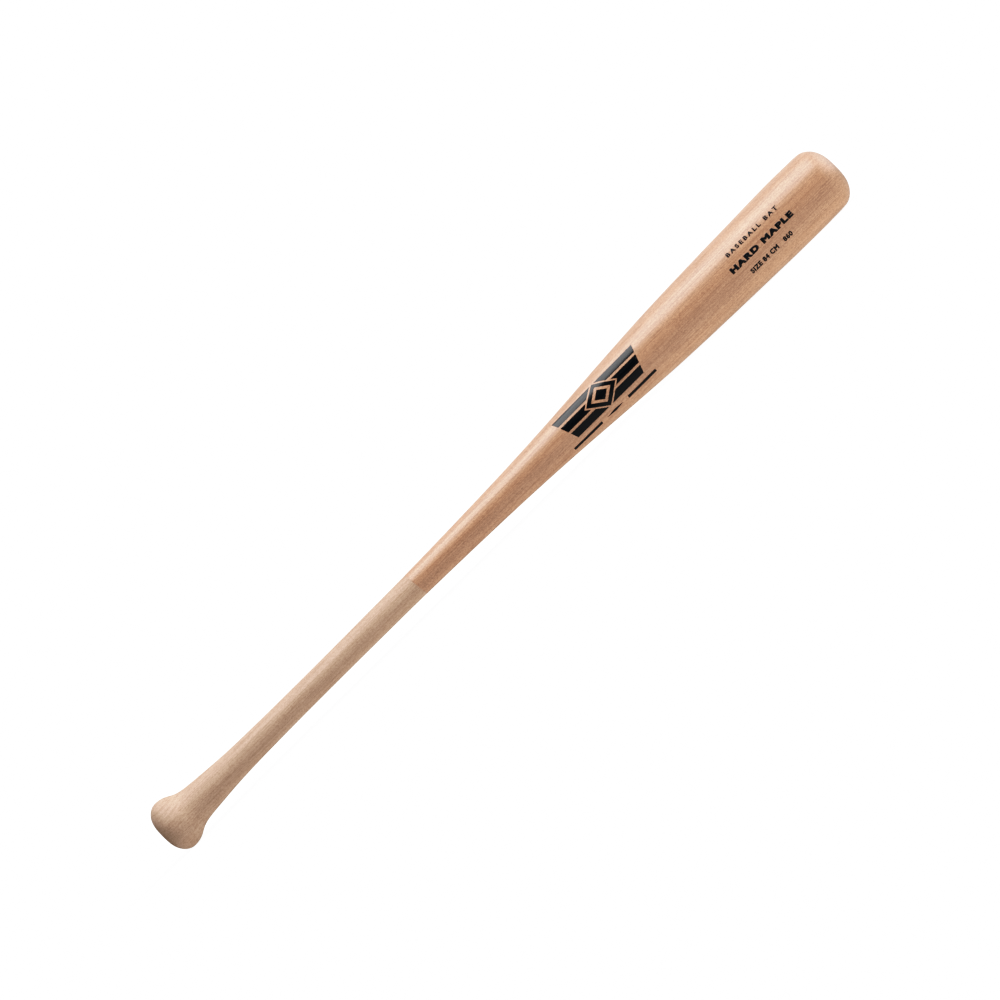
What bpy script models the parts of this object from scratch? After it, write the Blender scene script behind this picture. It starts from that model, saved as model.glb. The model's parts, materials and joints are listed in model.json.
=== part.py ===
"""One-piece turned maple baseball bat, lying on a flat surface.

Metres, +Z up. The bat lies along X with its knob towards -X, its barrel towards +X and its printed
side towards -Y. It rests on the barrel and on the knob, so its axis rises a little towards the barrel.

Every piece is modelled about its own Z, which runs from the knob's end face to the barrel's end face,
and hangs under one empty, bat_axis, that lays the bat down.
"""

import math

import bmesh
import bpy
from mathutils import Matrix, Vector

MM = 0.001

# Driving dimensions. Distances along the bat run from the knob's end face.
LENGTH = 840 * MM
KNOB_DIA = 51.6 * MM
KNOB_WIDEST_AT = 15 * MM
KNOB_FLAT_DIA = 15 * MM
KNOB_BACK_RADIUS = 25 * MM
KNOB_BACK_TURN = math.radians(32)
NECK_RADIUS = 30 * MM
NECK_END_SLOPE = math.radians(11)
SHOULDER_LENGTH = 19 * MM
SHOULDER_DIA = 62.2 * MM
END_FLAT_DIA = 16 * MM

# The turner's template between the neck and the barrel's shoulder: place along the bat and diameter.
TEMPLATE = (
    (60 * MM, 31.2 * MM),
    (90 * MM, 27.0 * MM),
    (130 * MM, 25.0 * MM),
    (190 * MM, 24.2 * MM),
    (260 * MM, 24.6 * MM),
    (320 * MM, 25.8 * MM),
    (380 * MM, 28.5 * MM),
    (440 * MM, 32.4 * MM),
    (500 * MM, 38.6 * MM),
    (560 * MM, 47.0 * MM),
    (620 * MM, 54.5 * MM),
    (680 * MM, 58.9 * MM),
    (740 * MM, 61.7 * MM),
    (795 * MM, 63.5 * MM),
)
BARREL_WIDEST_AT = TEMPLATE[-1][0]
BARREL_DIA = TEMPLATE[-1][1]

# The lacquer covers the bat from the dip line to the barrel's end.
DIP_LINE = 316 * MM
COAT_THICKNESS = 0.3 * MM
GAP = 0.3 * MM
FOIL_THICKNESS = 0.3 * MM

# Roundness: sides of a turned piece, and points on each stretch of its outline. Points of the long
# outline that fall within the margin of where it starts or ends are left out.
SIDES = 48
KNOB_FACE_POINTS = 7
KNOB_BACK_POINTS = 4
NECK_POINTS = 3
SPAN_POINTS = 2
SHOULDER_POINTS = 8
POINT_MARGIN = 5 * MM
MERGE_DISTANCE = 0.01 * MM
SHARP_ANGLE = math.radians(40)

# The emblem, measured on the bat's surface: along the bat, and up from the middle of the printed side.
EMBLEM_START = 500 * MM
EMBLEM_END = 600 * MM
EMBLEM_LOW = -9.8 * MM
EMBLEM_HIGH = 17.0 * MM
EMBLEM_MIDDLE = (EMBLEM_START + EMBLEM_END) / 2
EMBLEM_HEIGHT = (EMBLEM_LOW + EMBLEM_HIGH) / 2
EMBLEM_HALF_HEIGHT = (EMBLEM_HIGH - EMBLEM_LOW) / 2
DIAMOND_HALF_WIDTH = 18 * MM
DIAMOND_CORE_SHARE = 0.42
BAR_LEVELS = ("low", "middle", "top")
BAR_HEIGHT = 7.4 * MM
BAR_CLEARANCE = 2.4 * MM
BAR_SWEEP = 0.36
RULE_LOW = -18.0 * MM
RULE_HIGH = -15.0 * MM
RULE_LENGTH = 34 * MM
LOZENGE_HALF_WIDTH = 10 * MM

# The printed lines on the barrel, each as the strip that its characters fill: start, end, low, high.
LABEL_LINES = {
    "label_top_line": (714 * MM, 776 * MM, 9.6 * MM, 14.0 * MM),
    "label_main_line": (707 * MM, 782 * MM, -4.4 * MM, 1.5 * MM),
    "label_length_mark": (720 * MM, 753 * MM, -17.1 * MM, -11.9 * MM),
    "label_weight_mark": (760 * MM, 770 * MM, -17.1 * MM, -11.9 * MM),
}

# Squares of foil across a piece, enough for it to follow the bat's roundness.
FRAME_SQUARES = 6
CORE_SQUARES = 4
LOZENGE_SQUARES = 2
BAR_SQUARES = (4, 4)
RULE_SQUARES = (4, 2)
LABEL_SQUARES = (5, 2)

# Colour, roughness and weight of the clear coat.
BARE_MAPLE = ((0.56, 0.41, 0.30), 0.55, 0.0)
LACQUERED_MAPLE = ((0.55, 0.34, 0.20), 0.35, 0.5)
BLACK_FOIL = ((0.010, 0.013, 0.018), 0.3, 0.0)


def clear_scene():
    """Remove whatever the scene already holds."""
    for obj in list(bpy.data.objects):
        bpy.data.objects.remove(obj, do_unlink=True)


def principled(name, colour, roughness, coat):
    """A plain material with one of the bat's finishes."""
    material = bpy.data.materials.new(name)
    material.use_nodes = True
    shader = material.node_tree.nodes["Principled BSDF"]
    shader.inputs["Base Color"].default_value = (*colour, 1.0)
    shader.inputs["Roughness"].default_value = roughness
    shader.inputs["Metallic"].default_value = 0.0
    shader.inputs["Coat Weight"].default_value = coat
    return material


# ---- the turned outline ----


def neck_end():
    """Place and radius at which the knob's neck runs into the handle's template."""
    back_end = KNOB_WIDEST_AT + KNOB_BACK_RADIUS * math.sin(KNOB_BACK_TURN)
    back_radius = KNOB_DIA / 2 - KNOB_BACK_RADIUS * (1 - math.cos(KNOB_BACK_TURN))
    along = NECK_RADIUS * (math.sin(KNOB_BACK_TURN) - math.sin(NECK_END_SLOPE))
    inward = NECK_RADIUS * (math.cos(NECK_END_SLOPE) - math.cos(KNOB_BACK_TURN))
    return back_end + along, back_radius - inward


def template_stations():
    """Places and radii that the long outline passes through, from the neck to the barrel's shoulder."""
    stations = [neck_end()]
    stations += [(place, diameter / 2) for place, diameter in TEMPLATE]
    stations.append((LENGTH - SHOULDER_LENGTH, SHOULDER_DIA / 2))
    return stations


def station_slopes(stations):
    """Slope of the long outline at each station, so that it runs smoothly through all of them."""
    slopes = [-math.tan(NECK_END_SLOPE)]
    for before, here, after in zip(stations, stations[1:], stations[2:]):
        first = here[0] - before[0]
        second = after[0] - here[0]
        rise_first = (here[1] - before[1]) / first
        rise_second = (after[1] - here[1]) / second
        slopes.append((rise_first * second + rise_second * first) / (first + second))
    last, end = stations[-2], stations[-1]
    slopes.append((end[1] - last[1]) / (end[0] - last[0]))
    return slopes


STATIONS = template_stations()
SLOPES = station_slopes(STATIONS)


def template_radius(place):
    """Finished radius at a place between the neck and the barrel's shoulder."""
    spans = [i for i in range(len(STATIONS) - 1) if STATIONS[i][0] <= place]
    i = spans[-1]
    (start, radius_0), (end, radius_1) = STATIONS[i], STATIONS[i + 1]
    span = end - start
    t = (place - start) / span
    ease = t * t * (3 - 2 * t)
    bend_0 = SLOPES[i] * span * t * (1 - t) ** 2
    bend_1 = SLOPES[i + 1] * span * t * t * (t - 1)
    return radius_0 + (radius_1 - radius_0) * ease + bend_0 + bend_1


def knob_outline():
    """(place, radius) points from the knob's end face to the start of the handle."""
    points = [(0.0, 0.0)]
    flat = KNOB_FLAT_DIA / 2
    for i in range(KNOB_FACE_POINTS + 1):
        angle = math.pi / 2 * i / KNOB_FACE_POINTS
        place = KNOB_WIDEST_AT * (1 - math.cos(angle))
        points.append((place, flat + (KNOB_DIA / 2 - flat) * math.sin(angle)))
    for i in range(1, KNOB_BACK_POINTS + 1):
        angle = KNOB_BACK_TURN * i / KNOB_BACK_POINTS
        place = KNOB_WIDEST_AT + KNOB_BACK_RADIUS * math.sin(angle)
        points.append((place, KNOB_DIA / 2 - KNOB_BACK_RADIUS * (1 - math.cos(angle))))
    back_end, back_radius = points[-1]
    for i in range(1, NECK_POINTS + 1):
        angle = KNOB_BACK_TURN + (NECK_END_SLOPE - KNOB_BACK_TURN) * i / NECK_POINTS
        place = back_end + NECK_RADIUS * (math.sin(KNOB_BACK_TURN) - math.sin(angle))
        drop = NECK_RADIUS * (math.cos(angle) - math.cos(KNOB_BACK_TURN))
        points.append((place, back_radius - drop))
    return points


def template_outline(start):
    """(place, radius) points of the long outline from a place to the barrel's shoulder, start left out."""
    places = []
    for (first, _), (second, _) in zip(STATIONS, STATIONS[1:]):
        for i in range(1, SPAN_POINTS + 1):
            places.append(first + (second - first) * i / SPAN_POINTS)
    return [(place, template_radius(place)) for place in places if place > start + POINT_MARGIN]


def end_outline():
    """(place, radius) points round the barrel's shoulder and over its end face, to the axis."""
    points = []
    flat = END_FLAT_DIA / 2
    for i in range(1, SHOULDER_POINTS + 1):
        angle = math.pi / 2 * i / SHOULDER_POINTS
        place = LENGTH - SHOULDER_LENGTH * (1 - math.sin(angle))
        points.append((place, flat + (SHOULDER_DIA / 2 - flat) * math.cos(angle)))
    points.append((LENGTH, 0.0))
    return points


def sunk(points, depth):
    """The same outline, moved into the wood by a depth. Its last point stays on the axis."""
    moved = []
    for i, (place, radius) in enumerate(points[:-1]):
        before, after = points[max(i - 1, 0)], points[i + 1]
        along = Vector((after[0] - before[0], after[1] - before[1])).normalized()
        moved.append((place + along.y * depth, radius - along.x * depth))
    moved.append((points[-1][0] - depth, 0.0))
    return moved


def coated_outline():
    """(place, radius) points of the lacquered stretch, from the dip line to the axis at the end face."""
    points = [(DIP_LINE, template_radius(DIP_LINE))]
    points += template_outline(DIP_LINE)
    points += end_outline()
    return points


def bare_outline():
    """(place, radius) points of the bare stretch, from the axis at the knob to just short of the film."""
    end = DIP_LINE - GAP
    points = knob_outline()
    points += [point for point in template_outline(points[-1][0]) if point[0] < end - POINT_MARGIN]
    points.append((end, template_radius(end)))
    return points


# ---- pieces ----


def turned(name, points, material, parts, axis):
    """A turned piece: an outline swept once round the bat's axis, top to bottom down its outer side."""
    mesh = bpy.data.meshes.new(name)
    bm = bmesh.new()
    verts = [bm.verts.new((radius, 0.0, place)) for place, radius in reversed(points)]
    for first, second in zip(verts, verts[1:]):
        bm.edges.new((first, second))
    bm.to_mesh(mesh)
    bm.free()
    obj = bpy.data.objects.new(name, mesh)
    obj.parent = axis
    obj.rotation_euler.z = math.pi / SIDES
    parts.objects.link(obj)
    mesh.materials.append(material)
    screw = obj.modifiers.new("turning", "SCREW")
    screw.axis = "Z"
    screw.angle = math.tau
    screw.steps = SIDES
    screw.render_steps = SIDES
    screw.use_merge_vertices = True
    screw.merge_threshold = MERGE_DISTANCE
    screw.use_smooth_shade = True
    return obj


def turned_body(material, parts, axis):
    """The bat itself, knob to barrel in one piece of maple, cut back where the lacquer lies."""
    points = bare_outline() + sunk(coated_outline(), GAP + COAT_THICKNESS)
    return turned("turned_body", points, material, parts, axis)


def lacquer_coat(material, parts, axis):
    """The film of clear lacquer, a thin cup over the barrel, open at the dip line."""
    obj = turned("lacquer_coat", coated_outline(), material, parts, axis)
    wall = obj.modifiers.new("film", "SOLIDIFY")
    wall.thickness = COAT_THICKNESS
    wall.offset = -1.0
    wall.use_even_offset = True
    return obj


def on_surface(along, up, lift):
    """Point over the finished surface: along the bat, up round it from the printed side's middle."""
    radius = template_radius(along)
    turn = up / radius
    distance = radius + lift
    return Vector((distance * math.cos(turn), -distance * math.sin(turn), along))


def foil(name, bm, material, parts, axis):
    """A piece of transfer foil: a flat shape in along and up, wrapped round the bat and made thick."""
    for vert in bm.verts:
        vert.co = on_surface(vert.co.x, vert.co.y, GAP)
    mesh = bpy.data.meshes.new(name)
    bm.to_mesh(mesh)
    bm.free()
    mesh.materials.append(material)
    mesh.shade_smooth()
    mesh.set_sharp_from_angle(angle=SHARP_ANGLE)
    obj = bpy.data.objects.new(name, mesh)
    obj.parent = axis
    parts.objects.link(obj)
    film = obj.modifiers.new("film", "SOLIDIFY")
    film.thickness = FOIL_THICKNESS
    film.offset = 1.0
    return obj


def strip(low, high, left, right, squares):
    """Flat strip from low to high, whose ends are given by left and right as functions of the height."""
    bm = bmesh.new()
    bmesh.ops.create_grid(bm, x_segments=squares[0], y_segments=squares[1], size=1.0)
    for vert in bm.verts:
        up = low + (high - low) * (vert.co.y + 1) / 2
        start, end = left(up), right(up)
        vert.co = Vector((start + (end - start) * (vert.co.x + 1) / 2, up, 0.0))
    return bm


def diamond(centre, half_width, half_height, squares, hollow=False):
    """Flat diamond standing on its point. A hollow one keeps only its outermost ring of squares."""
    bm = bmesh.new()
    bmesh.ops.create_grid(bm, x_segments=squares, y_segments=squares, size=1.0)
    if hollow:
        ring = 1 - 2 / squares
        middles = {face: face.calc_center_median() for face in bm.faces}
        inner = [face for face, at in middles.items() if max(abs(at.x), abs(at.y)) < ring]
        bmesh.ops.delete(bm, geom=inner, context="FACES")
    turn = Matrix.Rotation(math.pi / 4, 4, "Z")
    scale = Matrix.Diagonal((half_width / math.sqrt(2), half_height / math.sqrt(2), 1.0, 1.0))
    place = Matrix.Translation((centre[0], centre[1], 0.0))
    bmesh.ops.transform(bm, matrix=place @ scale @ turn, verts=bm.verts)
    return bm


def emblem_diamond(material, parts, axis):
    """The emblem's diamond, an open frame round a smaller solid one."""
    centre = (EMBLEM_MIDDLE, EMBLEM_HEIGHT)
    frame = diamond(centre, DIAMOND_HALF_WIDTH, EMBLEM_HALF_HEIGHT, FRAME_SQUARES, hollow=True)
    foil("emblem_diamond_frame", frame, material, parts, axis)
    core_width = DIAMOND_HALF_WIDTH * DIAMOND_CORE_SHARE
    core_height = EMBLEM_HALF_HEIGHT * DIAMOND_CORE_SHARE
    core = diamond(centre, core_width, core_height, CORE_SQUARES)
    foil("emblem_diamond_core", core, material, parts, axis)


def emblem_bars(material, parts, axis):
    """Three swept bars on each side of the diamond, cut to follow its edge."""

    def beside_diamond(up):
        across = 1 - abs(up - EMBLEM_HEIGHT) / EMBLEM_HALF_HEIGHT
        return DIAMOND_HALF_WIDTH * across + BAR_CLEARANCE

    def swept(up):
        return BAR_SWEEP * (EMBLEM_HIGH - up)

    ends = {
        "knob_side": (
            lambda up: EMBLEM_START + swept(up),
            lambda up: EMBLEM_MIDDLE - beside_diamond(up),
        ),
        "barrel_side": (
            lambda up: EMBLEM_MIDDLE + beside_diamond(up),
            lambda up: EMBLEM_END - swept(up),
        ),
    }
    pitch = (EMBLEM_HIGH - EMBLEM_LOW - BAR_HEIGHT) / (len(BAR_LEVELS) - 1)
    for i, level in enumerate(BAR_LEVELS):
        low = EMBLEM_LOW + i * pitch
        for side, (left, right) in ends.items():
            bar = strip(low, low + BAR_HEIGHT, left, right, BAR_SQUARES)
            foil(f"emblem_bar_{side}_{level}", bar, material, parts, axis)


def emblem_rule(material, parts, axis):
    """The ruled line under the emblem, with a lozenge in its middle."""
    rules = {
        "emblem_rule_knob_side": (EMBLEM_START, EMBLEM_START + RULE_LENGTH),
        "emblem_rule_barrel_side": (EMBLEM_END - RULE_LENGTH, EMBLEM_END),
    }
    for name, (start, end) in rules.items():
        rule = strip(RULE_LOW, RULE_HIGH, lambda up: start, lambda up: end, RULE_SQUARES)
        foil(name, rule, material, parts, axis)
    centre = (EMBLEM_MIDDLE, (RULE_LOW + RULE_HIGH) / 2)
    half_height = (RULE_HIGH - RULE_LOW) / 2
    lozenge = diamond(centre, LOZENGE_HALF_WIDTH, half_height, LOZENGE_SQUARES)
    foil("emblem_rule_lozenge", lozenge, material, parts, axis)


def label(material, parts, axis):
    """The printed lines on the barrel, each as one plain strip."""
    for name, (start, end, low, high) in LABEL_LINES.items():
        line = strip(low, high, lambda up: start, lambda up: end, LABEL_SQUARES)
        foil(name, line, material, parts, axis)


# ---- the bat, laid down ----


def lying_down():
    """Place of the bat's own frame: printed side to -Y, resting on the barrel and on the knob."""
    printed_side_forward = Matrix(
        ((0.0, 0.0, 1.0, 0.0), (-1.0, 0.0, 0.0, 0.0), (0.0, -1.0, 0.0, 0.0), (0.0, 0.0, 0.0, 1.0))
    )
    flat = math.cos(math.pi / SIDES)
    rise = flat * (BARREL_DIA - KNOB_DIA) / 2
    tilt = math.asin(rise / (BARREL_WIDEST_AT - KNOB_WIDEST_AT))
    height = flat * KNOB_DIA / 2 * math.cos(tilt) - KNOB_WIDEST_AT * math.sin(tilt)
    place = Vector((-LENGTH / 2 * math.cos(tilt), 0.0, height))
    return Matrix.Translation(place) @ Matrix.Rotation(-tilt, 4, "Y") @ printed_side_forward


def main():
    clear_scene()
    parts = bpy.data.collections.new("baseball_bat")
    bpy.context.scene.collection.children.link(parts)
    axis = bpy.data.objects.new("bat_axis", None)
    axis.matrix_world = lying_down()
    parts.objects.link(axis)

    turned_body(principled("bare_maple", *BARE_MAPLE), parts, axis)
    lacquer_coat(principled("lacquered_maple", *LACQUERED_MAPLE), parts, axis)
    black_foil = principled("black_foil", *BLACK_FOIL)
    emblem_diamond(black_foil, parts, axis)
    emblem_bars(black_foil, parts, axis)
    emblem_rule(black_foil, parts, axis)
    label(black_foil, parts, axis)


main()
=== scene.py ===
"""Fine surfaces, finishes, light and camera for a turned maple baseball bat.

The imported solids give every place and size. The fine pieces follow them: the turned wood, the
lacquer film over its barrel, and the foil marks that lie on the film.
"""

import json
import logging
import math
from dataclasses import dataclass, field
from enum import Enum
from itertools import pairwise

import bmesh
import bpy
from mathutils import Matrix, Vector


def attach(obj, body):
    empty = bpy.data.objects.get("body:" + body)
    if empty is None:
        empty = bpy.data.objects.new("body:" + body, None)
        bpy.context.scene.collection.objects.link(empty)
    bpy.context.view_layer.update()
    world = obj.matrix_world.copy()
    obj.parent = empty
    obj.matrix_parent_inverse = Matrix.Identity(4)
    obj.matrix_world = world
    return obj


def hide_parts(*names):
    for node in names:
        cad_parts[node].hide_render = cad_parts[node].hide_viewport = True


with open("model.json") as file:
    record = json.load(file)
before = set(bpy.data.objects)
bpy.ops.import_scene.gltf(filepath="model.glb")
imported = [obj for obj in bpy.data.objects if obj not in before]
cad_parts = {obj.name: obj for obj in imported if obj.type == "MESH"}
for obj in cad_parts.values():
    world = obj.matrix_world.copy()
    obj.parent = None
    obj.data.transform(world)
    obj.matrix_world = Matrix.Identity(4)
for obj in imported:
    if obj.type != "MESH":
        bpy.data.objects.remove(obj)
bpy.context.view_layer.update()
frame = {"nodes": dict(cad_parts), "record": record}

MM = 0.001
SAME_SPOT = 0.001 * MM
CUT_MARGIN = 1e-7

logging.basicConfig(level=logging.INFO, format="%(name)s: %(message)s")
log = logging.getLogger("baseball_bat")

Colour = tuple[float, float, float]
Triple = tuple[float, float, float]
Place = tuple[float, float]
Socket = bpy.types.NodeSocket


# ---- where the bat lies ----


@dataclass(frozen=True)
class BatFrame:
    """The bat's own frame: x out of its printed side, y down, z along it from the knob's end face.

    Attributes:
        start: Centre of the knob's end face.
        along: Direction of the axis, towards the barrel.
        length: Distance between the two end faces.
    """

    start: Vector
    along: Vector
    length: float

    @classmethod
    def from_record(cls, record: dict) -> "BatFrame":
        """Find the axis between the two end faces that the record states.

        Args:
            record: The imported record.

        Returns:
            The bat's frame.
        """
        faces = {mount["name"]: Vector(mount["pos_m"]) for mount in record["mounts"]}
        start = faces["knob_end_face"]
        run = faces["barrel_end_face"] - start
        return cls(start, run.normalized(), run.length)

    def matrix(self) -> Matrix:
        """Set the bat's own frame in its place on the floor.

        Returns:
            The matrix that takes a point of the bat's own frame there.
        """
        printed = Vector((0.0, -1.0, 0.0))
        down = self.along.cross(printed)
        turn = Matrix((printed, down, self.along)).transposed().to_4x4()
        return Matrix.Translation(self.start) @ turn

    def middle(self, share: float = 0.5) -> Vector:
        """Return the point of the axis at a share of the bat's length."""
        return self.start + self.along * self.length * share

    def tilt(self) -> float:
        """Return the angle by which the axis rises towards the barrel."""
        return math.asin(self.along.z)


def smooth_step(low: float, high: float, value: float) -> float:
    """Return 0 below low, 1 above high, and an even rise between them."""
    share = min(max((value - low) / (high - low), 0.0), 1.0)
    return share * share * (3 - 2 * share)


class Outline:
    """The finished outline of the turning: its radius against the distance from the knob's end face.

    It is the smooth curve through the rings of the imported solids.
    """

    SAME_RING = 0.05 * MM
    END_ROUNDING = 40 * MM
    END_LEAD = 20 * MM
    OUTWARD = 0.2
    HALVINGS = 24

    def __init__(self, bat: BatFrame, body: bpy.types.Object, coat: bpy.types.Object) -> None:
        """Read the rings of both turned solids.

        Args:
            bat: The bat's frame.
            body: The solid of the wood.
            coat: The solid of the lacquer.
        """
        self.length = bat.length
        coated = self._outer_rings(bat, coat)
        self.dip_line = coated[0][0]
        bare = [ring for ring in self._outer_rings(bat, body) if ring[0] < self.dip_line - MM]
        self.rings = [Vector(ring) for ring in bare + coated]
        self.slopes = self._slopes()

    def _outer_rings(self, bat: BatFrame, node: bpy.types.Object) -> list[Place]:
        """Return the rings of a solid's outer side.

        Args:
            bat: The bat's frame.
            node: A turned solid.

        Returns:
            A (distance, radius) pair for each ring, from the knob on.
        """
        to_bat = bat.matrix().inverted()
        found = set()
        for face in node.data.polygons:
            centre = to_bat @ face.center
            normal = to_bat.to_3x3() @ face.normal
            inside = min(max(centre.z, self.END_ROUNDING), self.length - self.END_ROUNDING)
            if normal.dot((centre - Vector((0, 0, inside))).normalized()) > self.OUTWARD:
                found.update(face.vertices)
        corners = (to_bat @ node.data.vertices[i].co for i in found)
        rings: list[Place] = []
        for place, radius in sorted((co.z, co.xy.length) for co in corners):
            known = rings and math.dist(rings[-1], (place, radius)) < self.SAME_RING
            if radius > MM and not known:
                rings.append((place, radius))
        return rings

    def _slopes(self) -> list[Vector]:
        """Work out the curve's direction at each ring. Both ends run straight in to the axis.

        Returns:
            A direction for each ring, as a change of distance and radius.
        """
        slopes = [Vector((0.0, 1.0))]
        for before, here, after in zip(self.rings, self.rings[1:], self.rings[2:]):
            first, second = (here - before).length, (after - here).length
            turn = (here - before) / first * second + (after - here) / second * first
            slopes.append(turn / (first + second))
        slopes.append(Vector((0.0, -1.0)))
        return slopes

    def _point(self, span: int, share: float) -> Vector:
        """Find a point of the curve between two rings.

        Args:
            span: Number of the ring before it.
            share: How far the point is on the way to the next ring, from 0 to 1.

        Returns:
            The point's distance and radius.
        """
        a, b = self.rings[span], self.rings[span + 1]
        reach = (b - a).length
        ease = share * share * (3 - 2 * share)
        bend_a = self.slopes[span] * reach * share * (1 - share) ** 2
        bend_b = self.slopes[span + 1] * reach * share * share * (share - 1)
        return a + (b - a) * ease + bend_a + bend_b

    def end_share(self, place: float) -> float:
        """Return how far a distance is into the barrel's rounded end, from 0 to 1."""
        return smooth_step(self.length - self.END_LEAD, self.length, place)

    def radius(self, place: float) -> float:
        """Find how thick the finished bat is.

        Args:
            place: Distance from the knob's end face.

        Returns:
            The radius there.
        """
        span = max(i for i, ring in enumerate(self.rings[:-1]) if ring.x <= place or i == 0)
        low, high = 0.0, 1.0
        for _ in range(self.HALVINGS):
            middle = (low + high) / 2
            if self._point(span, middle).x < place:
                low = middle
            else:
                high = middle
        return self._point(span, high).y

    def samples(self, reach: float = 5 * MM, turn: float = math.radians(3)) -> list[Place]:
        """Return points along the whole curve, closer together where it bends.

        Args:
            reach: The longest step between two points.
            turn: The most that the curve turns between two points.

        Returns:
            (distance, radius) pairs, with the end faces' middles first and last.
        """
        points = [(0.0, 0.0), (0.0, self.rings[0].y / 2)]
        for i, (a, b) in enumerate(pairwise(self.rings)):
            bend = abs(self.slopes[i].angle(self.slopes[i + 1]))
            steps = max(math.ceil((b - a).length / reach), math.ceil(bend / turn))
            points += [tuple(self._point(i, step / steps)) for step in range(steps)]
        end = self.rings[-1]
        points += [tuple(end), (self.length, end.y / 2), (self.length, 0.0)]
        return points


# ---- node trees ----


@dataclass(frozen=True)
class Grain:
    """A layer of marks in a surface, stretched along its grain.

    Attributes:
        cells: Cells a metre, along the grain and both ways across it.
        detail: How many finer layers it carries.
        rough: How strong each finer layer is, against the one before.
        marked: Noise values at which a mark begins and is full.
        tint: What a full mark multiplies the colour by.
    """

    cells: Triple
    detail: float = 2.0
    rough: float = 0.5
    marked: Place = (0.3, 0.7)
    tint: Colour = (1.0, 1.0, 1.0)


class Graph:
    """A short way to write down the node tree of a material or of the world."""

    def __init__(self, owner: bpy.types.ID) -> None:
        """Start an empty tree.

        Args:
            owner: The material or world that it belongs to.
        """
        owner.use_nodes = True
        self.tree = owner.node_tree
        self.tree.nodes.clear()

    def add(self, kind: str, inputs: dict | None = None, **settings: object) -> bpy.types.Node:
        """Add a node.

        Args:
            kind: The node's type, without its leading ShaderNode.
            inputs: What goes into its sockets, by their names or numbers: sockets or plain values.
            settings: Its own properties.

        Returns:
            The node.
        """
        node = self.tree.nodes.new("ShaderNode" + kind)
        for name, value in settings.items():
            setattr(node, name, value)
        for key, value in (inputs or {}).items():
            self.feed(node.inputs[key], value)
        return node

    def feed(self, socket: Socket, value: object) -> None:
        """Give an input its value.

        Args:
            socket: The input.
            value: Another node's socket, which is linked to it, or a plain value.
        """
        if isinstance(value, Socket):
            self.tree.links.new(value, socket)
        else:
            socket.default_value = value

    def math(self, operation: str, *values: object) -> Socket:
        """Return the result of a Math node on sockets or numbers."""
        return self.add("Math", dict(enumerate(values)), operation=operation).outputs[0]

    def vector(self, operation: str, *values: object, out: int = 0) -> Socket:
        """Return the result of a Vector Math node on sockets or triples."""
        return self.add("VectorMath", dict(enumerate(values)), operation=operation).outputs[out]

    def noise(self, place: Socket, grain: Grain) -> Socket:
        """Lay a layer of grain.

        Args:
            place: Coordinates, in metres, with x along the grain.
            grain: How fine the layer is.

        Returns:
            Noise from 0 to 1.
        """
        stretched = self.vector("MULTIPLY", place, grain.cells)
        inputs = {"Vector": stretched, "Scale": 1.0, "Detail": grain.detail, "Roughness": grain.rough}
        return self.add("TexNoise", inputs, noise_dimensions="3D").outputs["Fac"]

    def ease(
        self, value: Socket, low: float, high: float, start: float = 0.0, end: float = 1.0
    ) -> Socket:
        """Return a value eased from start to end as its input goes from low to high."""
        inputs = {0: value, 1: low, 2: high, 3: start, 4: end}
        return self.add("MapRange", inputs, interpolation_type="SMOOTHSTEP").outputs[0]

    def blend(self, share: Socket, first: Socket | Colour, second: Socket | Colour) -> Socket:
        """Mix two colours.

        Args:
            share: How much of the second there is, from 0 to 1.
            first: The first colour.
            second: The second colour.

        Returns:
            The mixed colour.
        """
        mix = self.add("Mix", {0: share}, data_type="RGBA")
        for name, value in (("A", first), ("B", second)):
            socket = next(s for s in mix.inputs if s.name == name and s.type == "RGBA")
            self.feed(socket, (*value, 1.0) if isinstance(value, tuple) else value)
        return next(s for s in mix.outputs if s.type == "RGBA")

    def tinted(self, colour: Socket, share: Socket, tint: Colour) -> Socket:
        """Multiply a colour by a tint.

        Args:
            colour: The colour.
            share: How much of the tint is taken, from 0 to 1.
            tint: The tint.

        Returns:
            The tinted colour.
        """
        mix = self.add("Mix", {0: share}, data_type="RGBA", blend_type="MULTIPLY")
        sockets = [s for s in mix.inputs if s.type == "RGBA"]
        self.feed(sockets[0], colour)
        self.feed(sockets[1], (*tint, 1.0))
        return next(s for s in mix.outputs if s.type == "RGBA")


# ---- finishes ----


FIBRES = Grain((7.0, 60.0, 560.0), 4.0, 0.6, marked=(0.35, 0.75), tint=(0.90, 0.88, 0.85))
THREADS = Grain((22.0, 250.0, 1500.0), marked=(0.4, 0.75), tint=(0.68, 0.63, 0.57))
SPECKS = Grain((650.0, 700.0, 1700.0), 2.0, 0.7, marked=(0.35, 0.75), tint=(0.52, 0.46, 0.41))
FIGURE = Grain((170.0, 55.0, 55.0), marked=(0.3, 0.75), tint=(0.97, 0.965, 0.96))
STREAKS = Grain((1.6, 12.0, 50.0), 3.0, 0.6)
RING_SWAY = Grain((2.2, 9.0, 9.0))
RING_QUIVER = Grain((14.0, 70.0, 70.0))
FOIL_GRAIN = Grain((10.0, 700.0, 700.0), 3.0)
FOIL_SPECKS = Grain((900.0, 1800.0, 1800.0), marked=(0.62, 0.8))


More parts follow.
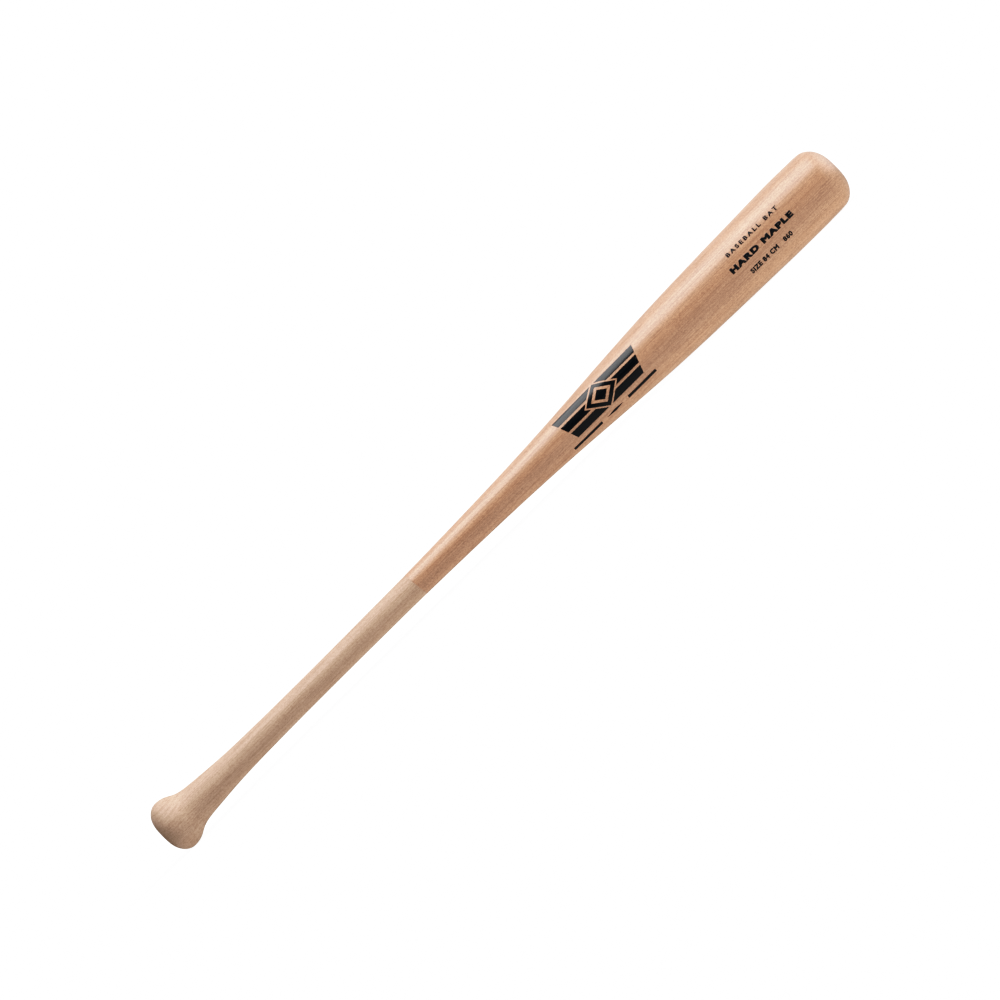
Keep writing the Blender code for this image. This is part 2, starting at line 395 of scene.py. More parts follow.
@dataclass(frozen=True)
class MapleFinish:
    """Hard maple with straight grain along the bat: streaks, fibres, rings, flecks and end grain.

    Attributes:
        name: The material's name.
        pale: The wood between its darker streaks.
        tan: The darker streaks.
        ring: The late wood that closes each year's ring.
        fleck: The short ray flecks.
        roughness: Roughness of the wood's surface.
        specular: Strength of its own sheen, 0.5 as on bare plastic.
        coat: Strength of the lacquer over it.
        coat_roughness: Roughness of the lacquer.
        coat_ior: Its refractive index.
        relief: Height of the raised fibres.
        depth: How strongly the fine grain shows, from 0 to 1. Lacquer deepens it.
        pith: Place of the tree's middle, across the bat, printed side and up.
        ring_pitch: Width of a year's growth.
        ring_share: How strongly the late wood shows.
        ring_relief: How far it stands up, against the fibres.
        late_wood: Shares of a year at which the late wood begins and is full.
        faint_year: Strength of the faintest year's late wood, against the strongest.
        sway: How far the rings wander, slowly along the bat.
        quiver: How far they waver, more finely.
        fleck_share: How strongly the ray flecks show.
        fleck_cells: Flecks a metre, along the grain and both ways across it.
        fleck_edge: Distances from its middle over which a fleck fades.
        fleck_choice: Chances over which a cell turns out to hold a fleck.
        streak_share: How much of the darker colour the palest and the darkest streaks hold.
        grip_swing: How much glossier and duller the fibres make the wood.
        grip_marks: Values of the fibres' noise over which that changes.
        end_cut: How far across the grain the surface is cut where the end grain begins and is full.
        end_tint: What the end grain multiplies the colour by.
    """

    name: str
    pale: Colour
    tan: Colour
    ring: Colour
    fleck: Colour
    roughness: float
    specular: float
    coat: float
    coat_roughness: float
    coat_ior: float
    relief: float
    depth: float
    pith: Place = (0.08, -0.600)
    ring_pitch: float = 2.4 * MM
    ring_share: float = 0.11
    ring_relief: float = 0.6
    late_wood: Place = (0.45, 1.0)
    faint_year: float = 0.35
    sway: float = 14 * MM
    quiver: float = 1.6 * MM
    fleck_share: float = 0.4
    fleck_cells: Triple = (230.0, 900.0, 1500.0)
    fleck_edge: Place = (0.12, 0.42)
    fleck_choice: Place = (0.62, 0.72)
    streak_share: Place = (0.32, 0.68)
    grip_swing: Place = (-0.05, 0.06)
    grip_marks: Place = (0.3, 0.7)
    end_cut: Place = (0.7, 1.0)
    end_tint: Colour = (0.80, 0.74, 0.68)

    def build(self, bat: BatFrame) -> bpy.types.Material:
        """Write the material's node tree.

        Args:
            bat: The bat's frame, along which the grain runs.

        Returns:
            The material.
        """
        material = bpy.data.materials.new(self.name)
        graph = Graph(material)
        place = self._grain_frame(graph, bat)
        rings = self._rings(graph, place)
        flecks = self._flecks(graph, place)
        streaks = graph.noise(place, STREAKS)
        fibres = graph.noise(place, FIBRES)

        colour = graph.blend(graph.ease(streaks, *STREAKS.marked, *self.streak_share), self.pale, self.tan)
        for grain, strength in (
            (FIBRES, self.depth),
            (THREADS, self.depth),
            (SPECKS, self.depth),
            (FIGURE, 1.0),
        ):
            marks = fibres if grain is FIBRES else graph.noise(place, grain)
            colour = graph.tinted(colour, graph.ease(marks, *grain.marked, 0.0, strength), grain.tint)
        colour = graph.blend(graph.math("MULTIPLY", rings, self.ring_share), colour, self.ring)
        colour = graph.blend(graph.math("MULTIPLY", flecks, self.fleck_share), colour, self.fleck)
        colour = graph.tinted(colour, self._end_grain(graph, bat), self.end_tint)

        glossiest, dullest = (self.roughness + swing for swing in self.grip_swing)
        grip = graph.ease(fibres, *self.grip_marks, glossiest, dullest)
        height = graph.math("ADD", fibres, graph.math("MULTIPLY", rings, self.ring_relief))
        bump = graph.add("Bump", {"Height": height, "Distance": self.relief, "Strength": 1.0})
        shader = graph.add(
            "BsdfPrincipled",
            {
                "Base Color": colour,
                "Roughness": grip,
                "Normal": bump.outputs[0],
                "Specular IOR Level": self.specular,
                "Coat Weight": self.coat,
                "Coat Roughness": self.coat_roughness,
                "Coat IOR": self.coat_ior,
            },
        )
        graph.add("OutputMaterial", {"Surface": shader.outputs[0]})
        return material

    def _grain_frame(self, graph: Graph, bat: BatFrame) -> Socket:
        """Turn the object's coordinates along the grain.

        Args:
            graph: The material's tree.
            bat: The bat's frame.

        Returns:
            Coordinates with x along the bat's axis and the axis at their zero.
        """
        spot = graph.add("TexCoord").outputs["Object"]
        level = graph.vector("SUBTRACT", spot, tuple(bat.start))
        turned = {"Vector": level, "Rotation": (0.0, bat.tilt(), 0.0)}
        return graph.add("Mapping", turned).outputs[0]

    def _end_grain(self, graph: Graph, bat: BatFrame) -> Socket:
        """Find where the surface is cut across the grain.

        Args:
            graph: The material's tree.
            bat: The bat's frame.

        Returns:
            How much end grain shows, from 0 to 1.
        """
        normal = graph.add("NewGeometry").outputs["Normal"]
        across = graph.vector("DOT_PRODUCT", normal, tuple(bat.along), out=1)
        return graph.ease(graph.math("ABSOLUTE", across), *self.end_cut)

    def _rings(self, graph: Graph, place: Socket) -> Socket:
        """Draw the dark lines that close the yearly rings.

        Args:
            graph: The material's tree.
            place: Coordinates with x along the grain.

        Returns:
            The lines' strength, from 0 to 1.
        """
        across = graph.vector("MULTIPLY", place, (0.0, 1.0, 1.0))
        out = graph.vector("DISTANCE", across, (0.0, *self.pith), out=1)
        for grain, reach in ((RING_SWAY, self.sway), (RING_QUIVER, self.quiver)):
            out = graph.math("ADD", out, graph.math("MULTIPLY", graph.noise(place, grain), reach))
        years = graph.math("DIVIDE", out, self.ring_pitch)
        year = graph.math("FLOOR", years)
        strength = graph.add("TexWhiteNoise", {"W": year}, noise_dimensions="1D").outputs[0]
        line = graph.ease(graph.math("FRACT", years), *self.late_wood)
        return graph.math("MULTIPLY", line, graph.ease(strength, 0.0, 1.0, self.faint_year, 1.0))

    def _flecks(self, graph: Graph, place: Socket) -> Socket:
        """Draw short ray flecks that lie along the grain.

        Args:
            graph: The material's tree.
            place: Coordinates with x along the grain.

        Returns:
            The flecks' strength, from 0 to 1.
        """
        stretched = graph.vector("MULTIPLY", place, self.fleck_cells)
        cells = graph.add("TexVoronoi", {"Vector": stretched, "Scale": 1.0, "Randomness": 1.0})
        spot = graph.ease(cells.outputs["Distance"], *self.fleck_edge, 1.0, 0.0)
        chosen = graph.add("SeparateColor", {0: cells.outputs["Color"]}).outputs[0]
        return graph.math("MULTIPLY", spot, graph.ease(chosen, *self.fleck_choice))


BARE_MAPLE = MapleFinish(
    name="bare_maple",
    pale=(0.547, 0.408, 0.326),
    tan=(0.474, 0.342, 0.264),
    ring=(0.310, 0.200, 0.141),
    fleck=(0.329, 0.209, 0.146),
    roughness=0.6,
    specular=0.35,
    coat=0.0,
    coat_roughness=0.4,
    coat_ior=1.5,
    relief=0.03 * MM,
    depth=0.62,
)
LACQUERED_MAPLE = MapleFinish(
    name="lacquered_maple",
    pale=(0.552, 0.351, 0.244),
    tan=(0.476, 0.274, 0.172),
    ring=(0.314, 0.150, 0.078),
    fleck=(0.324, 0.150, 0.073),
    roughness=0.6,
    specular=0.3,
    coat=1.0,
    coat_roughness=0.42,
    coat_ior=1.6,
    relief=0.02 * MM,
    depth=0.9,
)


@dataclass(frozen=True)
class FoilFinish:
    """Hot-stamped black foil, glossy, with the wood's grain just showing through its surface.

    Attributes:
        name: The material's name.
        colour: The foil's own colour.
        worn: Its colour where the stamp took less foil.
        roughness: Its mean roughness.
        specular: Strength of its gloss.
        relief: How far the grain beneath lifts it.
        swing: How much glossier and duller the grain beneath makes it.
    """

    name: str = "black_foil"
    colour: Colour = (0.002, 0.0036, 0.0062)
    worn: Colour = (0.008, 0.0095, 0.011)
    roughness: float = 0.27
    specular: float = 0.45
    relief: float = 0.012 * MM
    swing: Place = (-0.04, 0.06)

    def build(self, bat: BatFrame) -> bpy.types.Material:
        """Write the material's node tree.

        Args:
            bat: The bat's frame, along which the grain beneath runs.

        Returns:
            The material.
        """
        material = bpy.data.materials.new(self.name)
        graph = Graph(material)
        spot = graph.add("TexCoord").outputs["Object"]
        turned = {"Vector": spot, "Rotation": (0.0, bat.tilt(), 0.0)}
        place = graph.add("Mapping", turned).outputs[0]
        grain = graph.noise(place, FOIL_GRAIN)
        specks = graph.noise(place, FOIL_SPECKS)
        colour = graph.blend(graph.ease(specks, *FOIL_SPECKS.marked), self.colour, self.worn)
        glossiest, dullest = (self.roughness + swing for swing in self.swing)
        gloss = graph.ease(grain, *FOIL_GRAIN.marked, glossiest, dullest)
        bump = graph.add("Bump", {"Height": grain, "Distance": self.relief, "Strength": 1.0})
        shader = graph.add(
            "BsdfPrincipled",
            {
                "Base Color": colour,
                "Roughness": gloss,
                "Normal": bump.outputs[0],
                "Specular IOR Level": self.specular,
            },
        )
        graph.add("OutputMaterial", {"Surface": shader.outputs[0]})
        return material


# ---- turned pieces ----


def link_piece(
    name: str, bm: bmesh.types.BMesh, material: bpy.types.Material, nodes: list[str]
) -> bpy.types.Object:
    """Make a finished mesh a piece of the bat, in place of its plain solids.

    Args:
        name: The piece's name.
        bm: Its mesh, in the bat's place on the floor.
        material: Its finish.
        nodes: The plain solids that it stands for.

    Returns:
        The piece.
    """
    mesh = bpy.data.meshes.new(name)
    bm.to_mesh(mesh)
    bm.free()
    mesh.materials.append(material)
    piece = bpy.data.objects.new(name, mesh)
    bpy.context.scene.collection.objects.link(piece)
    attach(piece, "root")
    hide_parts(*nodes)
    log.info("%s: %d faces", name, len(mesh.polygons))
    return piece


def spun(points: list[Place], steps: int) -> bmesh.types.BMesh:
    """Turn an outline once round the bat's axis.

    Args:
        points: (distance, radius) pairs that begin and end on the axis.
        steps: Sides of the turning.

    Returns:
        The closed surface, in the bat's own frame.
    """
    bm = bmesh.new()
    verts = [bm.verts.new((radius, 0.0, place)) for place, radius in points]
    edges = [bm.edges.new(pair) for pair in pairwise(verts)]
    bmesh.ops.spin(
        bm,
        geom=verts + edges,
        cent=(0.0, 0.0, 0.0),
        axis=(0.0, 0.0, 1.0),
        angle=math.tau,
        steps=steps,
        use_merge=True,
    )
    bmesh.ops.remove_doubles(bm, verts=bm.verts, dist=SAME_SPOT)
    bmesh.ops.recalc_face_normals(bm, faces=bm.faces)
    for face in bm.faces:
        face.smooth = True
    return bm


@dataclass
class WoodBody:
    """The bat itself, knob, handle, taper and barrel in one turned piece of maple.

    Attributes:
        bat: The bat's frame.
        outline: Its finished outline.
        finish: The bare wood's finish.
        film: Thickness of the lacquer, by which the wood under it lies deeper.
        lead: Length over which the wood dips to the lacquer's depth, short of the dip line.
        sides: Sides of the turning.
    """

    bat: BatFrame
    outline: Outline
    finish: MapleFinish = BARE_MAPLE
    film: float = 0.1 * MM
    lead: float = 60 * MM
    sides: int = 180

    def sunk(self, point: Place) -> Place:
        """Move a point of the finished outline in to where the wood is.

        Args:
            point: Its distance from the knob's end face and its radius.

        Returns:
            The wood's distance and radius.
        """
        place, radius = point
        dip = self.outline.dip_line
        depth = self.film * smooth_step(dip - self.lead, dip - self.lead / 4, place)
        return place - depth * self.outline.end_share(place), max(radius - depth, 0.0)

    def build(self) -> bmesh.types.BMesh:
        """Turn the wood.

        Returns:
            Its mesh, in its place on the floor.
        """
        points = [self.sunk(point) for point in self.outline.samples()]
        bm = spun(points, self.sides)
        bmesh.ops.transform(bm, matrix=self.bat.matrix(), verts=bm.verts)
        return bm

    def dress(self) -> bpy.types.Object:
        """Build the piece, give it its finish and set it on the bat."""
        material = self.finish.build(self.bat)
        return link_piece("maple_body", self.build(), material, ["turned_body"])


@dataclass
class LacquerFilm:
    """The film of clear lacquer over taper and barrel, which ends in a fine bead at the dip line.

    Attributes:
        bat: The bat's frame.
        outline: Its finished outline.
        finish: The lacquered wood's finish.
        film: Thickness of the film.
        bead: Height of the thicker edge that the last run of lacquer leaves.
        bead_width: Width of that edge.
        slant: How far the dip line leans, up at the top of the printed side.
        slant_fade: Length over which the lean fades into the film.
        sides: Sides of the turning.
        edge_steps: Distances into the film at which its bead is given a ring, in millimetres.
        overlap: How deep the film's inner side lies, in thicknesses of the film.
    """

    bat: BatFrame
    outline: Outline
    finish: MapleFinish = LACQUERED_MAPLE
    film: float = 0.1 * MM
    bead: float = 0.05 * MM
    bead_width: float = 0.9 * MM
    slant: float = 1.5 * MM
    slant_fade: float = 50 * MM
    sides: int = 180
    edge_steps: tuple[float, ...] = (0.05, 0.15, 0.3, 0.5, 0.7, 0.9, 1.2, 1.6, 2.2, 3.0, 4.0, 6.0)
    overlap: float = 1.5

    def outer(self) -> list[Place]:
        """Lay out the film's outer outline, from just inside its edge to the axis at the barrel's end.

        Returns:
            (distance, radius) pairs.
        """
        dip = self.outline.dip_line
        edge = [(dip + step * MM, self.outline.radius(dip + step * MM)) for step in self.edge_steps]
        rest = [point for point in self.outline.samples() if point[0] > edge[-1][0] + 2 * MM]
        return [self.beaded(point) for point in edge] + rest

    def beaded(self, point: Place) -> Place:
        """Add the bead's height to a point of the outline.

        Args:
            point: Its distance from the knob's end face and its radius.

        Returns:
            The same distance, and the film's radius.
        """
        place, radius = point
        off = (place - self.outline.dip_line - self.bead_width / 2) / (self.bead_width / 2)
        return place, radius + self.bead * math.exp(-off * off)

    def inner(self, point: Place) -> Place:
        """Find the point of the film's inner side under one of its outer side.

        Args:
            point: The outer point's distance from the knob's end face and its radius.

        Returns:
            The inner point's distance and radius.
        """
        place, radius = point
        end = self.outline.end_share(place)
        return place - self.film * end, max(radius - self.overlap * self.film, 0.0)

    def build(self) -> bmesh.types.BMesh:
        """Turn the film as a thin closed cup, with its bead and its leaning dip line.

        Returns:
            Its mesh, in its place on the floor.
        """
        outer = self.outer()
        inner = [self.inner(point) for point in outer]
        bm = spun(inner[::-1] + outer, self.sides)
        self.lean(bm)
        bmesh.ops.transform(bm, matrix=self.bat.matrix(), verts=bm.verts)
        return bm

    def lean(self, bm: bmesh.types.BMesh) -> None:
        """Lean the dip line, keeping the film on the wood.

        Args:
            bm: The film, in the bat's own frame.
        """
        dip = self.outline.dip_line
        for vert in bm.verts:
            place = vert.co.z
            if place < dip + self.slant_fade:
                fade = 1 - smooth_step(dip, dip + self.slant_fade, place)
                moved = place + self.slant * fade * vert.co.xy.normalized().y
                grown = self.outline.radius(moved) - self.outline.radius(place)
                out = vert.co.xy.normalized() * (vert.co.xy.length + grown)
                vert.co = Vector((out.x, out.y, moved))

    def dress(self) -> bpy.types.Object:
        """Build the piece, give it its finish and set it on the bat."""
        material = self.finish.build(self.bat)
        return link_piece("lacquer_film", self.build(), material, ["lacquer_coat"])


# ---- foil marks ----


@dataclass
class FoilMark:
    """A piece of foil in the shape of its plain solid, laid close on the lacquer.

    Attributes:
        bat: The bat's frame.
        outline: Its finished outline.
        material: The foil.
        node: The plain solid that gives its shape and place.
        thickness: How far the foil stands over the lacquer.
        bedding: How far it reaches into the lacquer.
        pitch: The longest step between two of its points round the bat.
        stride: The longest step along the bat.
        same_point: Distance within which two corners of the plain solid are one.
        facing: How squarely a face of the plain solid looks outwards on the mark's outer side.
    """

    bat: BatFrame
    outline: Outline
    material: bpy.types.Material
    node: str
    thickness: float = 0.06 * MM
    bedding: float = 0.03 * MM
    pitch: float = 0.8 * MM
    stride: float = 4 * MM
    same_point: float = 0.005 * MM
    facing: float = 0.7

    def unrolled(self) -> bmesh.types.BMesh:
        """Lay the plain solid's outer side flat.

        Returns:
            The flat shape, with x along the bat and y up round it.
        """
        bm = bmesh.new()
        bm.from_mesh(frame["nodes"][self.node].data)
        bmesh.ops.transform(bm, matrix=self.bat.matrix().inverted(), verts=bm.verts)
        bmesh.ops.remove_doubles(bm, verts=bm.verts, dist=self.same_point)
        bm.normal_update()
        sides = []
        for face in bm.faces:
            centre = face.calc_center_median()
            if face.normal.dot(Vector((centre.x, centre.y, 0.0)).normalized()) < self.facing:
                sides.append(face)
        bmesh.ops.delete(bm, geom=sides, context="FACES")
        for vert in bm.verts:
            up = -math.atan2(vert.co.y, vert.co.x) * self.outline.radius(vert.co.z)
            vert.co = Vector((vert.co.z, up, 0.0))
        return bm

    def plate(self) -> bmesh.types.BMesh:
        """Make the mark as a flat plate, cut into steps.

        Returns:
            The plate, from z = 0 up to z = 1.
        """
        bm = self.unrolled()
        self.slice(bm)
        bmesh.ops.solidify(bm, geom=bm.faces[:], thickness=1.0)
        stretch_to(bm, 2, (0.0, 1.0))
        return bm

    def slice(self, bm: bmesh.types.BMesh) -> None:
        """Cut a flat shape into steps short enough to follow the bat's roundness.

        Args:
            bm: The flat shape.
        """
        for axis, step in ((0, self.stride), (1, self.pitch)):
            low, high = span_of(bm, axis)
            count = math.ceil((high - low) / step)
            normal = Vector((1.0, 0.0, 0.0)) if axis == 0 else Vector((0.0, 1.0, 0.0))
            for i in range(1, count):
                spot = normal * (low + (high - low) * i / count)
                geom = bm.verts[:] + bm.edges[:] + bm.faces[:]
                bmesh.ops.bisect_plane(bm, geom=geom, dist=CUT_MARGIN, plane_co=spot, plane_no=normal)

    def wrap(self, bm: bmesh.types.BMesh) -> None:
        """Lay a flat plate round the bat, bedded in the lacquer.

        Args:
            bm: The plate.
        """
        for vert in bm.verts:
            radius = self.outline.radius(vert.co.x)
            turn = vert.co.y / radius
            out = radius - self.bedding + vert.co.z * (self.thickness + self.bedding)
            vert.co = Vector((out * math.cos(turn), -out * math.sin(turn), vert.co.x))
        bmesh.ops.recalc_face_normals(bm, faces=bm.faces)
        bmesh.ops.transform(bm, matrix=self.bat.matrix(), verts=bm.verts)

    def dress(self) -> bpy.types.Object:
        """Build the mark and set it on the bat.

        Returns:
            The piece.
        """
        bm = self.plate()
        self.wrap(bm)
        return link_piece(f"foil_{self.node}", bm, self.material, [self.node])


@dataclass
class FoilLettering(FoilMark):
    """A line of plain characters in foil, which fills the strip that its plain solid keeps for it.

    Attributes:
        words: The characters.
        boldness: How far the strokes are fattened on each side, as a share of the type's size.
        spacing: Distance between characters, as a share of the usual one.
        arc_points: Points on each arc of a character.
        body: Half the characters' height before they are laid flat, as a share of the type's size.
        same_corner: Distance within which two corners of a character are one, as such a share.
        pitch: The longest step between two points round the bat.
        stride: The longest step along the bat.
    """

    words: str = ""
    boldness: float = 0.02
    spacing: float = 1.0
    arc_points: int = 5
    body: float = 0.01
    same_corner: float = 1e-5
    pitch: float = 0.9 * MM
    stride: float = 12 * MM

    def typeset(self) -> bmesh.types.BMesh:
        """Set the characters in the plain built-in type.

        Returns:
            Closed flat bodies, one unit to the type's size.
        """
        line = bpy.data.curves.new("lettering", "FONT")
        line.body = self.words
        line.space_character = self.spacing
        line.resolution_u = self.arc_points
        line.extrude = self.body
        line.bevel_depth = self.boldness
        line.bevel_resolution = 0
        holder = bpy.data.objects.new("lettering", line)
        bpy.context.scene.collection.objects.link(holder)
        graph = bpy.context.evaluated_depsgraph_get()
        mesh = bpy.data.meshes.new_from_object(holder.evaluated_get(graph))
        bm = bmesh.new()
        bm.from_mesh(mesh)
        bpy.data.objects.remove(holder)
        bpy.data.curves.remove(line)
        bpy.data.meshes.remove(mesh)
        bmesh.ops.remove_doubles(bm, verts=bm.verts, dist=self.same_corner)
        return bm

    def plate(self) -> bmesh.types.BMesh:
        """Stretch the characters to fill their strip, and cut them into steps.

        Returns:
            The characters, from z = 0 up to z = 1.
        """
        strip = self.unrolled()
        bm = self.typeset()
        for axis in (0, 1):
            stretch_to(bm, axis, span_of(strip, axis))
        stretch_to(bm, 2, (0.0, 1.0))
        strip.free()
        self.slice(bm)
        return bm


def span_of(bm: bmesh.types.BMesh, axis: int) -> Place:
    """Return the lowest and highest value of a mesh along one axis."""
    values = [vert.co[axis] for vert in bm.verts]
    return min(values), max(values)


def stretch_to(bm: bmesh.types.BMesh, axis: int, span: Place) -> None:
    """Stretch a mesh along one axis so that it fills a span.

    Args:
        bm: The mesh.
        axis: 0 for x, 1 for y and 2 for z.
        span: The lowest and highest value that it gets.
    """
    low, high = span_of(bm, axis)
    for vert in bm.verts:
        vert.co[axis] = span[0] + (vert.co[axis] - low) * (span[1] - span[0]) / (high - low)


class Lettering(Enum):
    """The lines of plain print on the barrel: solid, words, boldness and spacing."""

    TOP = ("label_top_line", "BASEBALL BAT", 0.045, 1.5)
    MAIN = ("label_main_line", "HARD MAPLE", 0.08, 1.22)
    LENGTH = ("label_length_mark", "SIZE 84 CM", 0.055, 1.15)
    WEIGHT = ("label_weight_mark", "860", 0.055, 1.15)


@dataclass
class FoilPrint:
    """All the foil on the printed side: the emblem and the lines of print.

    Attributes:
        bat: The bat's frame.
        outline: Its finished outline.
        finish: The foil's finish.
    """

    bat: BatFrame
    outline: Outline
    finish: FoilFinish = field(default_factory=FoilFinish)

    def dress(self) -> list[bpy.types.Object]:
        """Build every mark and set it on the bat.

        Returns:
            The pieces.
        """
        material = self.finish.build(self.bat)
        emblem = sorted(node for node in frame["nodes"] if node.startswith("emblem_"))
        marks = [FoilMark(self.bat, self.outline, material, node) for node in emblem]
        for line in Lettering:
            node, words, boldness, spacing = line.value
            mark = FoilLettering(self.bat, self.outline, material, node)
            mark.words = words
            mark.boldness = boldness
            mark.spacing = spacing
            marks.append(mark)
        return [mark.dress() for mark in marks]


# ---- studio ----


@dataclass
class Studio:
    """A pale floor, a wide soft light overhead and a long lens that looks at the printed side.

    Attributes:
        bat: The bat's frame.
        view_width: Width of the view at the bat.
        lens: Focal length, in millimetres.
        sensor: Sensor width, in millimetres.
        slope: Angle at which the bat climbs across the view.
        aim: The share of the bat's length that the camera looks at.
        lift: How far over the bat's axis it looks.
        box_power: Power of the soft light, in watts.
        box_length: Its size along the bat.
        box_width: Its size across the bat.
        box_place: Where it hangs.
        surround: Brightness of the dim walls beyond the knob and beyond the barrel.
        surround_turn: How far towards the barrel the walls begin and finish brightening.
        floor_side: Size of the floor.
        floor_albedo: How pale the floor is, as the bat meets it and as the camera does.
        glow: Brightness of the floor close to the bat and far off.
        glow_reach: Distances from the middle over which that changes.
        bounce: Light that the floor throws back at the knob's end and at the barrel's.
        bounce_turn: Places along the bat over which that changes.
        bounce_fade: The share of it that is left further off.
        bounce_reach: Distances across the bat over which it fades.
        bounce_tint: Colour of that light.
        flag: The share of it that a dark flag beyond the knob lets through.
        flag_reach: Places along the bat over which the flag ends.
        gloss_share: The share of it that glossy surfaces mirror.
        backdrop: Brightness of the backdrop in what glossy surfaces mirror.
        side_panel: Brightness there of the white panel beyond the barrel.
        side_turn: How far towards the barrel that panel begins and is full.
        backdrop_turn: How far to the back the backdrop begins and is full, in the same.
        white: Brightness of the backdrop that the camera sees.
        floor_roughness: Roughness of the floor.
        floor_specular: Strength of its sheen.
        reach: How far off the camera still sees.
        contrast: Points of the tone curve, light in and light out.
    """

    bat: BatFrame
    view_width: float = 0.8857
    lens: float = 200.0
    sensor: float = 36.0
    slope: float = math.radians(44.92)
    aim: float = 0.5016
    lift: float = 0.35 * MM
    box_power: float = 52.6
    box_length: float = 2.5
    box_width: float = 1.4
    box_place: Triple = (0.15, -0.59, 1.60)
    surround: Place = (0.04, 1.5)
    surround_turn: Place = (0.4, 0.95)
    floor_side: float = 60.0
    floor_albedo: Place = (0.08, 0.22)
    glow: Place = (0.70, 1.1)
    glow_reach: Place = (0.4, 1.5)
    bounce: Place = (0.82, 1.36)
    bounce_turn: Place = (-0.5, 0.5)
    bounce_fade: float = 0.5
    bounce_reach: Place = (0.04, 0.25)
    bounce_tint: Colour = (1.0, 0.96, 0.90)
    flag: float = 0.15
    flag_reach: Place = (-0.56, -0.43)
    gloss_share: float = 0.32
    backdrop: float = 0.85
    side_panel: float = 3.0
    side_turn: Place = (0.45, 0.9)
    backdrop_turn: Place = (0.0, 0.5)
    white: float = 1.2
    floor_roughness: float = 0.9
    floor_specular: float = 0.1
    reach: float = 200.0
    contrast: tuple[Place, ...] = ((0.05, 0.026), (0.15, 0.129), (0.4, 0.482), (0.7, 0.833))

    def floor(self) -> None:
        """Lay a plain pale floor, lit a little from beneath as a light table is."""
        bm = bmesh.new()
        bmesh.ops.create_grid(bm, x_segments=1, y_segments=1, size=self.floor_side / 2)
        mesh = bpy.data.meshes.new("floor")
        bm.to_mesh(mesh)
        bm.free()
        material = bpy.data.materials.new("floor")
        graph = Graph(material)
        spot = graph.add("TexCoord").outputs["Object"]
        ray = graph.add("LightPath").outputs
        shown = graph.ease(graph.vector("LENGTH", spot, out=1), *self.glow_reach, *self.glow)
        sides = graph.add("SeparateXYZ", {0: spot}).outputs
        thrown = graph.ease(sides[0], *self.bounce_turn, *self.bounce)
        across = graph.math("ABSOLUTE", sides[1])
        for share in (
            graph.ease(sides[0], *self.flag_reach, self.flag, 1.0),
            graph.ease(across, *self.bounce_reach, 1.0, self.bounce_fade),
            graph.ease(ray["Is Glossy Ray"], 0.0, 1.0, 1.0, self.gloss_share),
        ):
            thrown = graph.math("MULTIPLY", thrown, share)
        mix = graph.add("Mix", {0: ray["Is Camera Ray"], 2: thrown, 3: shown}, data_type="FLOAT")
        greys = [(pale, pale, pale) for pale in self.floor_albedo]
        inputs = {
            "Base Color": graph.blend(ray["Is Camera Ray"], *greys),
            "Roughness": self.floor_roughness,
            "Specular IOR Level": self.floor_specular,
            "Emission Color": graph.blend(ray["Is Camera Ray"], self.bounce_tint, (1.0, 1.0, 1.0)),
            "Emission Strength": mix.outputs[0],
        }
        shader = graph.add("BsdfPrincipled", inputs)
        graph.add("OutputMaterial", {"Surface": shader.outputs[0]})
        mesh.materials.append(material)
        ground = bpy.data.objects.new("floor", mesh)
        bpy.context.scene.collection.objects.link(ground)

    def surroundings(self) -> None:
        """Make the backdrop white, and the light that comes from all round dim."""
        world = bpy.data.worlds.new("studio")
        bpy.context.scene.world = world
        graph = Graph(world)
        sides = graph.add("SeparateXYZ", {0: graph.add("TexCoord").outputs["Generated"]}).outputs
        ray = graph.add("LightPath").outputs
        walls = graph.ease(sides[0], *self.surround_turn, *self.surround)
        behind = graph.ease(sides[1], *self.backdrop_turn, 0.0, self.backdrop)
        beside = graph.ease(sides[0], *self.side_turn, 0.0, self.side_panel)
        mirrored = graph.math("MULTIPLY", graph.math("MAXIMUM", behind, beside), ray["Is Glossy Ray"])
        dim = graph.add("Background", {"Strength": graph.math("MAXIMUM", walls, mirrored)})
        white = graph.add("Background", {"Strength": self.white})
        for background in (dim, white):
            background.inputs["Color"].default_value = (1.0, 1.0, 1.0, 1.0)
        mix = graph.add("MixShader", {0: ray["Is Camera Ray"], 1: dim.outputs[0], 2: white.outputs[0]})
        graph.add("OutputWorld", {"Surface": mix.outputs[0]})

    def light(self) -> None:
        """Hang one long soft light overhead, a little to the front and towards the barrel."""
        lamp = bpy.data.lights.new("softbox", "AREA")
        lamp.shape = "RECTANGLE"
        lamp.size = self.box_length
        lamp.size_y = self.box_width
        lamp.energy = self.box_power
        holder = bpy.data.objects.new("softbox", lamp)
        holder.location = self.box_place
        holder.visible_camera = False
        bpy.context.scene.collection.objects.link(holder)

    def camera(self) -> None:
        """Look level at the printed side, rolled so that the bat climbs to the upper right."""
        lens = bpy.data.cameras.new("camera")
        lens.lens = self.lens
        lens.sensor_width = self.sensor
        lens.clip_end = self.reach
        camera = bpy.data.objects.new("camera", lens)
        bpy.context.scene.collection.objects.link(camera)
        distance = self.view_width * self.lens / self.sensor
        aim = self.bat.middle(self.aim) + Vector((0.0, 0.0, self.lift))
        level = Matrix.Rotation(math.pi / 2, 4, "X")
        roll = Matrix.Rotation(-(self.slope - self.bat.tilt()), 4, "Z")
        camera.matrix_world = Matrix.Translation(aim - Vector((0, distance, 0))) @ level @ roll
        bpy.context.scene.camera = camera

    def build(self) -> None:
        """Set up floor, backdrop, light, camera and the tone curve."""
        self.floor()
        self.surroundings()
        self.light()
        self.camera()
        settings = bpy.context.scene.view_settings
        settings.view_transform = "Standard"
        settings.use_curve_mapping = True
        settings.curve_mapping.extend = "HORIZONTAL"
        curve = settings.curve_mapping.curves[3]
        for light, shown in self.contrast:
            curve.points.new(light, shown)
        settings.curve_mapping.update()


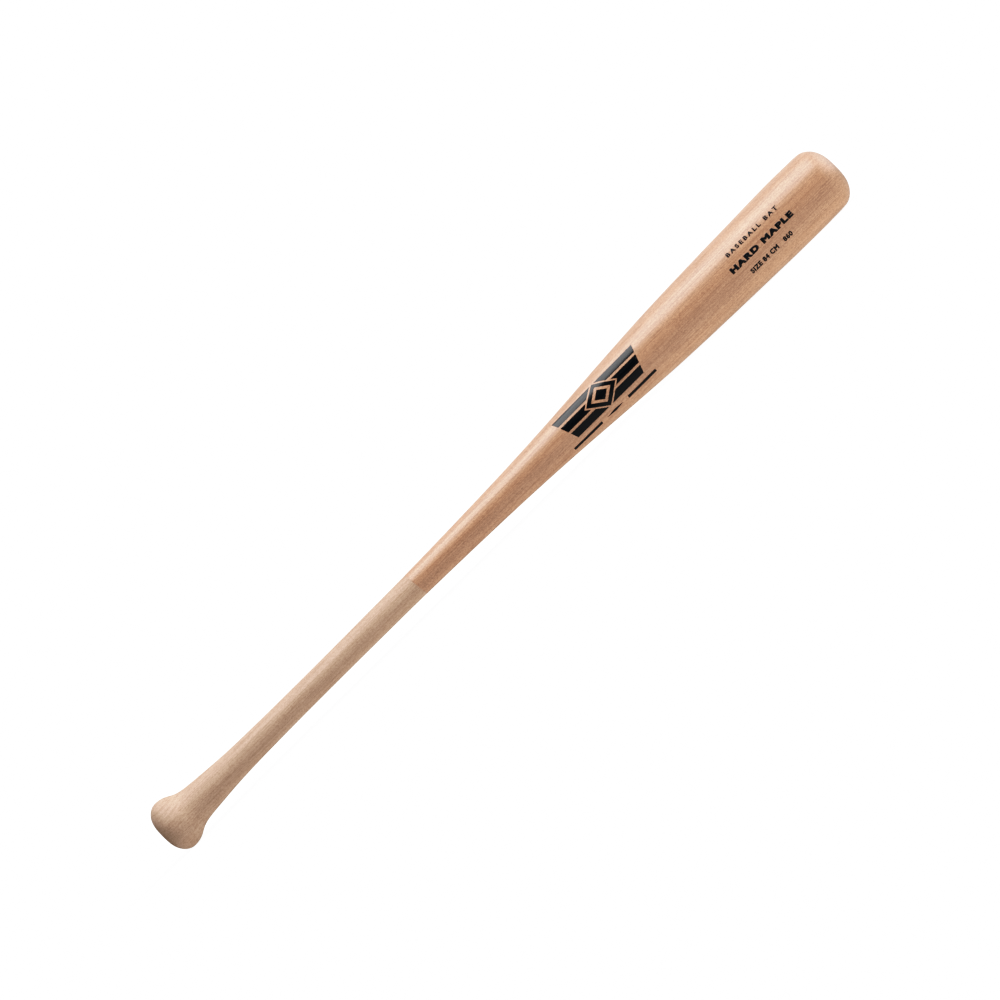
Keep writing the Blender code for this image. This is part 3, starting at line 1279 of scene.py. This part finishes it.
def main() -> None:
    """Build the bat's fine pieces and the studio round it."""
    nodes = frame["nodes"]
    bat = BatFrame.from_record(frame["record"])
    outline = Outline(bat, nodes["turned_body"], nodes["lacquer_coat"])
    log.info("dip line %.1f mm from the knob", outline.dip_line / MM)
    WoodBody(bat, outline).dress()
    LacquerFilm(bat, outline).dress()
    marks = FoilPrint(bat, outline).dress()
    log.info("%d foil marks", len(marks))
    Studio(bat).build()


if __name__ == "__main__":
    main()
